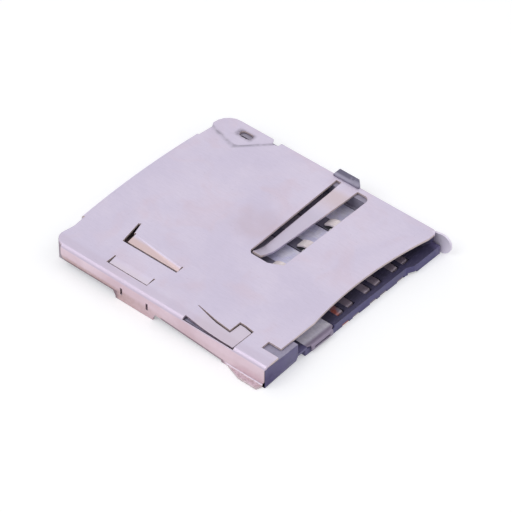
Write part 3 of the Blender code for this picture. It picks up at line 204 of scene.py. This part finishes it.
class Shader:
    """Small helper that adds nodes to a material and links them."""

    def __init__(self, name):
        self.material = bpy.data.materials.new(name)
        self.material.use_nodes = True
        self.tree = self.material.node_tree
        self.bsdf = self.tree.nodes["Principled BSDF"]
        self.place = self.add("ShaderNodeTexCoord").outputs["Object"]

    def add(self, kind, inputs=None, **settings):
        node = self.tree.nodes.new(kind)
        for key, value in settings.items():
            setattr(node, key, value)
        for key, value in (inputs or {}).items():
            self.feed(node.inputs[key], value)
        return node

    def feed(self, socket, value):
        if isinstance(value, bpy.types.NodeSocket):
            self.tree.links.new(value, socket)
        else:
            socket.default_value = value

    def stretch(self, scale):
        node = self.add("ShaderNodeMapping", {"Vector": self.place})
        node.inputs["Scale"].default_value = scale
        return node.outputs["Vector"]

    def noise(self, scale, detail=3.0, roughness=0.55, distortion=0.0, vector=None):
        node = self.add(
            "ShaderNodeTexNoise",
            {
                "Vector": vector or self.place,
                "Scale": scale,
                "Detail": detail,
                "Roughness": roughness,
                "Distortion": distortion,
            },
        )
        return node.outputs["Fac"]

    def ramp(self, value, low, high, out_low=0.0, out_high=1.0):
        node = self.add(
            "ShaderNodeMapRange",
            {
                "Value": value,
                "From Min": low,
                "From Max": high,
                "To Min": out_low,
                "To Max": out_high,
            },
            interpolation_type="SMOOTHSTEP",
        )
        return node.outputs["Result"]

    def math(self, operation, a, b=0.0):
        node = self.add("ShaderNodeMath", {0: a, 1: b}, operation=operation)
        return node.outputs[0]

    def times(self, first, *others):
        """Product of masks and plain shares."""
        product = first
        for other in others:
            product = self.math("MULTIPLY", product, other)
        return product

    def mix(self, share, a, b):
        node = self.add("ShaderNodeMix", data_type="RGBA")
        self.feed(node.inputs[MIX_SHARE], share)
        self.feed(node.inputs[MIX_FIRST], a)
        self.feed(node.inputs[MIX_SECOND], b)
        return node.outputs[MIX_RESULT]

    def tint(self, base, colour, *masks):
        """Base with a colour laid over it, as far as the masks together let it."""
        return self.mix(self.times(*masks), base, colour)

    def axis(self, name):
        node = self.add("ShaderNodeSeparateXYZ", {"Vector": self.place})
        return node.outputs[name]

    def fade(self, name, places, out_low=0.0, out_high=1.0):
        """From one value to another between two places along an axis."""
        return self.ramp(self.axis(name), *places, out_low, out_high)

    def band(self, name, places, soft):
        """1 between two places along an axis, falling to 0 over the soft length."""
        low, high = places
        value = self.axis(name)
        rise = self.ramp(value, low - soft, low)
        fall = self.ramp(value, high, high + soft, 1.0, 0.0)
        return self.times(rise, fall)

    def region(self, x, y, soft):
        return self.times(self.band("X", x, soft), self.band("Y", y, soft))

    def beyond(self, across, along, start):
        """Distance past a line in plan, which is start from the origin along its normal."""
        x = self.times(self.axis("X"), across)
        y = self.times(self.axis("Y"), along)
        return self.math("SUBTRACT", self.math("ADD", x, y), start)

    def normal_z(self):
        geometry = self.add("ShaderNodeNewGeometry")
        node = self.add("ShaderNodeSeparateXYZ", {"Vector": geometry.outputs["True Normal"]})
        return self.math("ABSOLUTE", node.outputs["Z"])

    def rounded(self, radius):
        return self.add("ShaderNodeBevel", {"Radius": radius}, samples=6).outputs["Normal"]

    def edge_mask(self, rounded):
        """1 on rounded edges and 0 on flat faces."""
        geometry = self.add("ShaderNodeNewGeometry")
        dot = self.add("ShaderNodeVectorMath", operation="DOT_PRODUCT")
        self.feed(dot.inputs[0], rounded)
        self.feed(dot.inputs[1], geometry.outputs["True Normal"])
        return self.ramp(dot.outputs["Value"], 0.97, 0.80)

    def bump(self, height, strength, distance, normal=None):
        node = self.add(
            "ShaderNodeBump", {"Height": height, "Strength": strength, "Distance": distance}
        )
        if normal is not None:
            self.feed(node.inputs["Normal"], normal)
        return node.outputs["Normal"]

    def surface(self, colour, roughness, metallic, normal):
        self.feed(self.bsdf.inputs["Base Color"], colour)
        self.feed(self.bsdf.inputs["Roughness"], roughness)
        self.feed(self.bsdf.inputs["Metallic"], metallic)
        self.feed(self.bsdf.inputs["Normal"], normal)
        return self.material


def tint_left_wall(s, colour, stain, speck):
    """Left wall: pinker on its sideways faces as a painted tone of light, darker and browner low
    down towards the rear, with a painted shadow along its lower edge, painted shade dimming the
    fold's highlight, and a warmer, browner toe.
    """
    left = s.fade("X", WALL_X)
    wall = s.times(s.ramp(s.normal_z(), 0.6, 0.1), left)
    # Painted light: the wall's sideways faces get a pink tone that the top of the same sheet lacks
    painted_side_tone = s.mix(s.ramp(stain, 0.35, 0.65), rgb(230, 208, 216), rgb(216, 190, 198))
    colour = s.tint(colour, painted_side_tone, wall, 0.85)
    # Darker and browner low down, more so towards the rear
    darkened = s.times(s.fade("Y", WALL_DARK_Y, 0.15, 0.8), s.ramp(speck, 0.25, 0.6, 0.6, 1.0))
    colour = s.tint(colour, rgb(178, 148, 142), s.fade("Z", WALL_LOW_Z), wall, darkened)

    # Painted shadow along the lower edge, which falls towards the front
    front = s.math("MINIMUM", s.math("SUBTRACT", s.axis("Y"), RIM_SLOPE_REAR), 0.0)
    height = s.math("SUBTRACT", s.axis("Z"), s.times(front, RIM_SLOPE))
    rim_shadow = s.times(s.ramp(height, *RIM_Z), wall)
    for stretch in RIM_STRETCHES:
        colour = s.tint(colour, rgb(122, 102, 114), rim_shadow, s.band("Y", stretch, RIM_SOFT), 0.75)

    # Painted shade over the fold, dimming its highlight
    colour = s.tint(colour, rgb(196, 182, 200), s.band("Z", FOLD_Z, FOLD_SOFT), left, 0.7)
    # A warmer, browner toe, patchy with noise
    toe_tone = s.mix(s.ramp(speck, 0.35, 0.6), rgb(184, 168, 168), rgb(208, 194, 200))
    return s.tint(colour, toe_tone, s.fade("X", TOE_X), s.fade("Y", TOE_Y), 0.85)


def tint_top(s, colour, blush, speck):
    """Painted shade along the step to the corner pad, in a patch behind the card window, and round
    the pad's slot.
    """
    inward = s.math("MINIMUM", *(s.beyond(*line) for line in PAD_STEP))
    near = s.ramp(s.math("ABSOLUTE", inward), 0.0, PAD_SHADE, 1.0, 0.0)
    patchy = s.ramp(s.noise(1500, 2.0, 0.5), 0.4, 0.6, 0.35, 0.9)
    colour = s.tint(colour, rgb(156, 150, 166), near, patchy)
    # Painted shade in a soft patch behind the card window
    uneven = s.ramp(blush, 0.3, 0.6, 0.3, 0.55)
    colour = s.tint(colour, rgb(194, 176, 190), s.region(*SHADE_PATCH), uneven)
    # Painted shade round the pad's slot, so that it reads wider and darker
    slot_shade = s.ramp(speck, 0.3, 0.6, 0.4, 0.8)
    return s.tint(colour, rgb(126, 118, 134), s.region(*SLOT_SHADE), slot_shade)


def tint_pressed(s, colour):
    """What is pressed below the top face gets painted shade and a warm painted reflection."""
    pressed_down = s.fade("Z", PRESSED_Z)
    for x, soft, y, share, painted_light_tint in PRESSED:
        place = s.times(s.band("X", x, soft), s.band("Y", y, PRESSED_SOFT))
        colour = s.tint(colour, painted_light_tint, place, pressed_down, share)
    return colour


def cover_material():
    """Rolled sheet, matte lavender grey, with faint stains and browner rounded edges, and painted
    light and shade on its walls, top, pressed parts, ear and cut edges.
    """
    s = Shader("cover_steel")
    stain = s.noise(260, 4.0, 0.6, 0.4)
    blush = s.noise(420, 3.0, 0.5, 0.8)
    grain = s.noise(16000, 4.0, 0.6, 0.0, s.stretch((1.0, 0.12, 1.0)))
    speck = s.noise(5200, 2.0, 0.7)
    rounded = s.rounded(EDGE_ROUND)
    edge = s.edge_mask(rounded)

    colour = s.mix(s.ramp(stain, 0.35, 0.68), rgb(208, 199, 220), rgb(215, 206, 224))
    colour = s.tint(colour, rgb(212, 193, 207), s.ramp(blush, 0.48, 0.75, 0.0, 0.4))
    colour = s.tint(colour, rgb(186, 176, 196), s.ramp(speck, 0.62, 0.8, 0.0, 0.35))
    colour = s.tint(colour, rgb(172, 164, 184), s.ramp(grain, 0.3, 0.7, 0.0, 0.12))
    colour = tint_left_wall(s, colour, stain, speck)
    colour = tint_top(s, colour, blush, speck)
    colour = tint_pressed(s, colour)
    # Browner on rounded edges
    colour = s.tint(colour, rgb(158, 132, 134), edge, s.ramp(stain, 0.25, 0.7, 0.1, 0.5))

    # Painted light: the ear's inner face, which falls in shade, is made near white and less
    # metallic
    ear = s.times(s.fade("X", EAR_X), s.fade("Y", EAR_Y))
    colour = s.tint(colour, rgb(240, 232, 248), ear, 0.8)
    # Painted light: the cut edges in the top sheet, which fall in shade, are made light beige and
    # less metallic
    upright = s.ramp(s.normal_z(), 0.6, 0.3)
    between = s.times(s.fade("X", CUT_LEFT_X), s.fade("X", CUT_RIGHT_X))
    cut_edge = s.times(upright, between, s.fade("Z", CUT_Z))
    colour = s.tint(colour, rgb(218, 199, 194), cut_edge, 0.85)

    roughness = s.ramp(stain, 0.3, 0.7, 0.40, 0.52)
    metallic = s.ramp(s.math("MAXIMUM", ear, cut_edge), 0.0, 1.0, 0.85, 0.3)
    height = s.math("ADD", s.times(grain, 0.5), speck)
    return s.surface(colour, roughness, metallic, s.bump(height, 0.25, 0.000004, rounded))


def lit_outer_skin(s, outer, upward):
    """Outer skin of the resin, painted paler as lit, deeper at the block's left end and in front of
    the card bay.
    """
    low_left = s.times(s.fade("X", BLOCK_END_X), s.fade("Z", BLOCK_END_Z, 0.5, 1.0))
    bay = s.times(s.fade("X", BAY_LEFT_X), s.fade("X", BAY_RIGHT_X))
    colour = s.tint(outer, rgb(68, 54, 110), low_left)
    colour = s.tint(colour, rgb(84, 78, 128), bay)
    return s.tint(colour, rgb(48, 44, 62), bay, upward, 0.7)


def tint_exposed(s, colour, top, blotch, upward):
    """Paler places of the resin that show past the cover's edges and through its openings: painted
    light on its tops, under the pad, on the window's floor and end and below the flap, and a paler
    rear corner and boss.
    """
    # Painted light: the upward faces at the base's top are paler, patchy with noise
    patchy_top_light = s.ramp(blotch, 0.25, 0.6, 0.65, 1.0)
    colour = s.tint(colour, top, upward, s.fade("Z", CREST_Z), patchy_top_light)
    # Painted light on the upward faces under the corner pad
    under_pad = s.ramp(s.beyond(*PAD_STEP[0]), 0.0, PAD_FADE)
    colour = s.tint(colour, rgb(172, 165, 182), under_pad, upward, 0.85)
    # Painted light on the resin floor below the card window, lightening its shade
    window_floor_light = s.times(s.band("Y", LIT_FLOOR_Y, WINDOW_SOFT), s.band("Z", LIT_FLOOR_Z, LIT_FLOOR_SOFT))
    colour = s.tint(colour, rgb(136, 130, 150), window_floor_light, upward, 0.7)
    # Painted light at the window's right end
    side = s.times(s.fade("X", WINDOW_SIDE_X), s.band("Y", WINDOW_Y, WINDOW_SOFT))
    colour = s.tint(colour, rgb(166, 160, 180), side, 0.8)
    corner = s.times(s.fade("X", REAR_CORNER_X), s.fade("Y", REAR_CORNER_Y))
    colour = s.tint(colour, rgb(190, 172, 184), corner, 0.8)
    # Painted light in the channel below the flap, which is dark for want of light
    colour = s.tint(colour, rgb(168, 146, 142), s.region(*BELOW_FLAP), 0.7)
    boss = s.mix(s.ramp(blotch, 0.42, 0.54), rgb(84, 80, 104), rgb(150, 144, 166))
    return s.tint(colour, boss, s.fade("X", BOSS_X, 0.0, 0.85))


def plastic_material(name, deep, outer, top, roughness):
    """Moulded resin: deep indigo inside, paler outside and paler still on the tops that show, both
    as painted light.
    """
    s = Shader(name)
    blotch = s.noise(900, 4.0, 0.6)
    fibre = s.noise(14000, 3.0, 0.65, 0.0, s.stretch((0.25, 1.0, 1.0)))
    rounded = s.rounded(EDGE_ROUND)
    edge = s.edge_mask(rounded)
    upward = s.ramp(s.normal_z(), 0.7, 0.95)
    # Painted light: the outer faces at the front and right side are paler, the inner faces keep the
    # deep colour where shade falls
    outside = s.math("MAXIMUM", s.fade("Y", LIP_Y), s.fade("X", FLANK_X))
    outside = s.times(outside, s.ramp(blotch, 0.2, 0.6, 0.6, 1.0))
    colour = s.tint(deep, lit_outer_skin(s, outer, upward), outside)
    colour = tint_exposed(s, colour, top, blotch, upward)
    colour = s.tint(colour, rgb(44, 40, 58), s.ramp(blotch, 0.45, 0.75, 0.0, 0.3))
    colour = s.tint(colour, rgb(126, 120, 148), s.ramp(fibre, 0.5, 0.8, 0.0, 0.3))
    colour = s.tint(colour, rgb(136, 130, 158), edge, 0.5)
    shine = s.ramp(blotch, 0.3, 0.7, roughness - 0.06, roughness + 0.08)
    return s.surface(colour, shine, 0.0, s.bump(fibre, 0.3, 0.000006, rounded))


def contact_material(name, plate, shade, tab=False, stain_place=None):
    """Dull plated strip with rolled grain, darker at the front lip, with painted shade under the
    cover.
    """
    s = Shader(name)
    cloud = s.noise(1400, 3.0, 0.55)
    grain = s.noise(20000, 3.0, 0.6, 0.0, s.stretch((1.0, 0.15, 1.0)))
    rounded = s.rounded(EDGE_ROUND)
    edge = s.edge_mask(rounded)
    colour = s.mix(s.ramp(cloud, 0.35, 0.68), plate, shade)
    if tab:
        colour = s.tint(colour, rgb(150, 136, 160), s.fade("Y", TAB_Y))
    else:
        darkened = s.mix(s.ramp(cloud, 0.3, 0.6), rgb(152, 138, 152), rgb(126, 112, 126))
        colour = s.tint(colour, darkened, s.fade("Y", TAIL_Y))
    # Painted shade where the strip runs under the cover
    colour = s.tint(colour, rgb(130, 114, 130), s.fade("Y", UNDER_COVER_Y), 0.8)
    colour = s.tint(colour, rgb(120, 112, 118), s.ramp(grain, 0.35, 0.7, 0.0, 0.2))
    if stain_place is not None:
        spot = s.region(*stain_place, STAIN_SOFT)
        colour = s.tint(colour, rgb(172, 92, 84), spot, s.ramp(cloud, 0.3, 0.5))
    colour = s.tint(colour, rgb(206, 196, 200), edge, 0.3)
    shine = s.ramp(cloud, 0.3, 0.7, 0.36, 0.5)
    return s.surface(colour, shine, 0.15, s.bump(grain, 0.2, 0.000003, rounded))


def wire_material(name):
    """Drawn steel wire with a fine grain."""
    s = Shader(name)
    cloud = s.noise(2600, 3.0, 0.6)
    grain = s.noise(30000, 2.0, 0.6)
    colour = s.mix(s.ramp(cloud, 0.35, 0.7), rgb(176, 172, 182), rgb(146, 138, 146))
    shine = s.ramp(grain, 0.3, 0.7, 0.22, 0.36)
    return s.surface(colour, shine, 1.0, s.bump(grain, 0.15, 0.000002))


def dress(node, material):
    piece = frame["nodes"][node]
    piece.data.materials.clear()
    piece.data.materials.append(material)


def new_piece(name, bm, material):
    """Object in the scene from a finished bmesh."""
    bmesh.ops.recalc_face_normals(bm, faces=bm.faces)
    mesh = bpy.data.meshes.new(name)
    bm.to_mesh(mesh)
    bm.free()
    mesh.materials.append(material)
    piece = bpy.data.objects.new(name, mesh)
    bpy.context.scene.collection.objects.link(piece)
    return piece


def coil_points(centre, radius, start, end):
    """Middle line of a coil along Y, with its end turns closed up."""
    closed = SPRING_LEAD * SPRING_CLOSED
    points = []
    for i in range(SPRING_TURNS * STEPS_PER_TURN + 1):
        turn = i / STEPS_PER_TURN
        if turn < SPRING_CLOSED:
            y = start + SPRING_LEAD * turn
        elif turn > SPRING_TURNS - SPRING_CLOSED:
            y = end - SPRING_LEAD * (SPRING_TURNS - turn)
        else:
            share = (turn - SPRING_CLOSED) / (SPRING_TURNS - 2 * SPRING_CLOSED)
            y = start + closed + share * (end - start - 2 * closed)
        angle = math.tau * turn
        x = centre.x + radius * math.cos(angle)
        points.append(Vector((x, y, centre.z + radius * math.sin(angle))))
    return points


def fine_spring(material):
    """The ejector spring with round wire, in place of the coarse one, squeezed by the slider."""
    low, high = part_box("eject_spring")
    centre = (low + high) / 2
    radius = (high.z - low.z - SPRING_WIRE) / 2
    points = coil_points(centre, radius, low.y + SPRING_WIRE / 2, high.y - SPRING_WIRE / 2)
    bm = bmesh.new()
    rings = []
    for i, here in enumerate(points):
        ahead = points[min(i + 1, len(points) - 1)] - points[max(i - 1, 0)]
        out = Vector((here.x - centre.x, 0.0, here.z - centre.z)).normalized()
        up = ahead.normalized().cross(out)
        ring = []
        for k in range(WIRE_SIDES):
            angle = math.tau * k / WIRE_SIDES
            offset = out * math.cos(angle) + up * math.sin(angle)
            ring.append(bm.verts.new(here + offset * SPRING_WIRE / 2))
        rings.append(ring)
    for near, far in zip(rings, rings[1:]):
        for k in range(WIRE_SIDES):
            m = (k + 1) % WIRE_SIDES
            bm.faces.new((near[k], near[m], far[m], far[k]))
    bm.faces.new(rings[0])
    bm.faces.new(rings[-1][::-1])
    coil = new_piece("ejector_coil", bm, material)
    coil.data.shade_smooth()
    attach(coil, "base")
    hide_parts("eject_spring")
    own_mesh(coil)


def block_face(material):
    """Front face and lower edge of the base's block, which reach the cover's outer face."""
    front = BLOCK_FRONT - FACE
    back = BLOCK_FRONT + 3 * FACE
    bm = bmesh.new()
    loops = []
    for x, foot in ((BLOCK_LEFT, front), (BLOCK_RIGHT, front + RIGHT_FOOT_SETBACK)):
        section = (
            (front, UNDERCUT_TOP),
            (front, BASE_TOP - FACE),
            (back, BASE_TOP - FACE),
            (back, UNDERCUT_TOP),
            (BLOCK_FRONT + UNDERCUT_DEPTH, FACE),
            (foot, FACE),
        )
        loops.append([bm.verts.new((x, y, z)) for y, z in section])
    count = len(loops[0])
    for i in range(count):
        j = (i + 1) % count
        bm.faces.new((loops[0][i], loops[0][j], loops[1][j], loops[1][i]))
    bm.faces.new(loops[0])
    bm.faces.new(loops[1][::-1])
    face = new_piece("block_face", bm, material)
    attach(face, "base")


def seen_share(tree):
    """1 for what the camera sees, also in gloss or through glass, and 0 for plain light."""
    path = tree.nodes.new("ShaderNodeLightPath")
    share = path.outputs["Is Camera Ray"]
    for name in ("Is Glossy Ray", "Is Transmission Ray"):
        node = tree.nodes.new("ShaderNodeMath")
        node.operation = "MAXIMUM"
        tree.links.new(share, node.inputs[0])
        tree.links.new(path.outputs[name], node.inputs[1])
        share = node.outputs[0]
    return share


def floor():
    """Pale floor that reads white and keeps the part's shadow."""
    mesh = bpy.data.meshes.new("floor")
    corners = [(x * FLOOR_SIZE, y * FLOOR_SIZE, 0) for x, y in ((-1, -1), (1, -1), (1, 1), (-1, 1))]
    mesh.from_pydata(corners, [], [(0, 1, 2, 3)])
    plane = bpy.data.objects.new("floor", mesh)
    plane.location.z = -FLOOR_DROP
    bpy.context.scene.collection.objects.link(plane)
    material = bpy.data.materials.new("floor")
    material.use_nodes = True
    tree = material.node_tree
    shader = tree.nodes["Principled BSDF"]
    shader.inputs["Base Color"].default_value = (0.80, 0.80, 0.81, 1.0)
    shader.inputs["Roughness"].default_value = 0.9
    shader.inputs["Specular IOR Level"].default_value = 0.1
    shader.inputs["Emission Color"].default_value = (1.0, 1.0, 1.0, 1.0)
    glow = tree.nodes.new("ShaderNodeMath")
    glow.operation = "MULTIPLY"
    tree.links.new(seen_share(tree), glow.inputs[0])
    glow.inputs[1].default_value = FLOOR_GLOW
    tree.links.new(glow.outputs[0], shader.inputs["Emission Strength"])
    mesh.materials.append(material)


def world():
    """White surround for what is seen, and a softer one for the light that it gives."""
    surround = bpy.data.worlds.new("studio")
    bpy.context.scene.world = surround
    surround.use_nodes = True
    tree = surround.node_tree
    tree.nodes.clear()
    output = tree.nodes.new("ShaderNodeOutputWorld")
    light = tree.nodes.new("ShaderNodeBackground")
    light.inputs["Color"].default_value = (0.97, 0.98, 1.0, 1.0)
    light.inputs["Strength"].default_value = SURROUND_LIGHT
    seen = tree.nodes.new("ShaderNodeBackground")
    seen.inputs["Color"].default_value = (1.0, 1.0, 1.0, 1.0)
    seen.inputs["Strength"].default_value = 1.0
    mix = tree.nodes.new("ShaderNodeMixShader")
    tree.links.new(seen_share(tree), mix.inputs[0])
    tree.links.new(light.outputs[0], mix.inputs[1])
    tree.links.new(seen.outputs[0], mix.inputs[2])
    tree.links.new(mix.outputs[0], output.inputs["Surface"])


def towards(azimuth, elevation):
    """Direction from the part to what stands at an azimuth and elevation in radians."""
    across = math.cos(elevation)
    return Vector(
        (math.sin(azimuth) * across, -math.cos(azimuth) * across, math.sin(elevation))
    )


def place_facing(item, location, back):
    """Puts a lamp or camera at a location, turned so that back points away from its view."""
    item.location = location
    item.rotation_mode = "QUATERNION"
    item.rotation_quaternion = back.to_track_quat("Z", "Y")
    bpy.context.scene.collection.objects.link(item)


def lamp(name, azimuth, elevation, size, power):
    """Square soft lamp that faces the part from an azimuth and elevation in degrees."""
    data = bpy.data.lights.new(name, "AREA")
    data.size = size
    data.energy = power
    back = towards(math.radians(azimuth), math.radians(elevation))
    place_facing(bpy.data.objects.new(name, data), back * LAMP_DISTANCE, back)


def camera():
    back = towards(AZIMUTH, ELEVATION)
    right = Vector((math.cos(AZIMUTH), math.sin(AZIMUTH), 0.0))
    up = back.cross(right)
    target = Vector((0.0, 0.0, TARGET_HEIGHT)) + right * TARGET_RIGHT + up * TARGET_UP
    data = bpy.data.cameras.new("camera")
    data.sensor_width = SENSOR
    data.lens = LENS
    data.clip_start = NEAR_CLIP
    data.clip_end = FAR_CLIP
    eye = bpy.data.objects.new("camera", data)
    place_facing(eye, target + back * DISTANCE, back)
    bpy.context.scene.camera = eye


camera()
floor()
world()
lamp("key", azimuth=-110, elevation=55, size=0.16, power=0.16)
lamp("fill", azimuth=40, elevation=50, size=0.2, power=0.07)

dress("shell", cover_material())
resin = plastic_material(
    "base_resin",
    deep=rgb(56, 52, 74),
    outer=rgb(108, 100, 142),
    top=rgb(166, 160, 184),
    roughness=0.5,
)
dress("housing", resin)
block_face(resin)
# Pale resin, made paler still as painted light so that the gaps over the slider read lighter
slider_resin = plastic_material(
    "slider_resin",
    deep=rgb(176, 166, 178),
    outer=rgb(176, 168, 182),
    top=rgb(184, 174, 186),
    roughness=0.42,
)
dress("slider", slider_resin)

# The contacts' and terminal's near-white colours are raised as painted light, to lift them where
# they sit in the cover's shade
for number in (1, 2, 3):
    # Only the first front contact has the reddish stain at the lip
    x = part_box(f"contact_front_{number}")[0].x
    stain = ((x, x + STAIN_WIDTH), STAIN_Y) if number == 1 else None
    front_metal = contact_material(
        f"front_contact_{number}", rgb(246, 234, 236), rgb(226, 212, 216), stain_place=stain
    )
    dress(f"contact_front_{number}", front_metal)
    rear_metal = contact_material(
        f"rear_contact_{number}", rgb(240, 236, 255), rgb(218, 214, 246)
    )
    dress(f"contact_rear_{number}", rear_metal)
terminal = contact_material("terminal_metal", rgb(250, 244, 255), rgb(234, 228, 244), tab=True)
dress("detect_terminal", terminal)
dress("detect_blade", terminal)
dress("cam_pin", wire_material("pin_wire"))
fine_spring(wire_material("spring_wire"))

bpy.context.scene.view_settings.view_transform = "Standard"
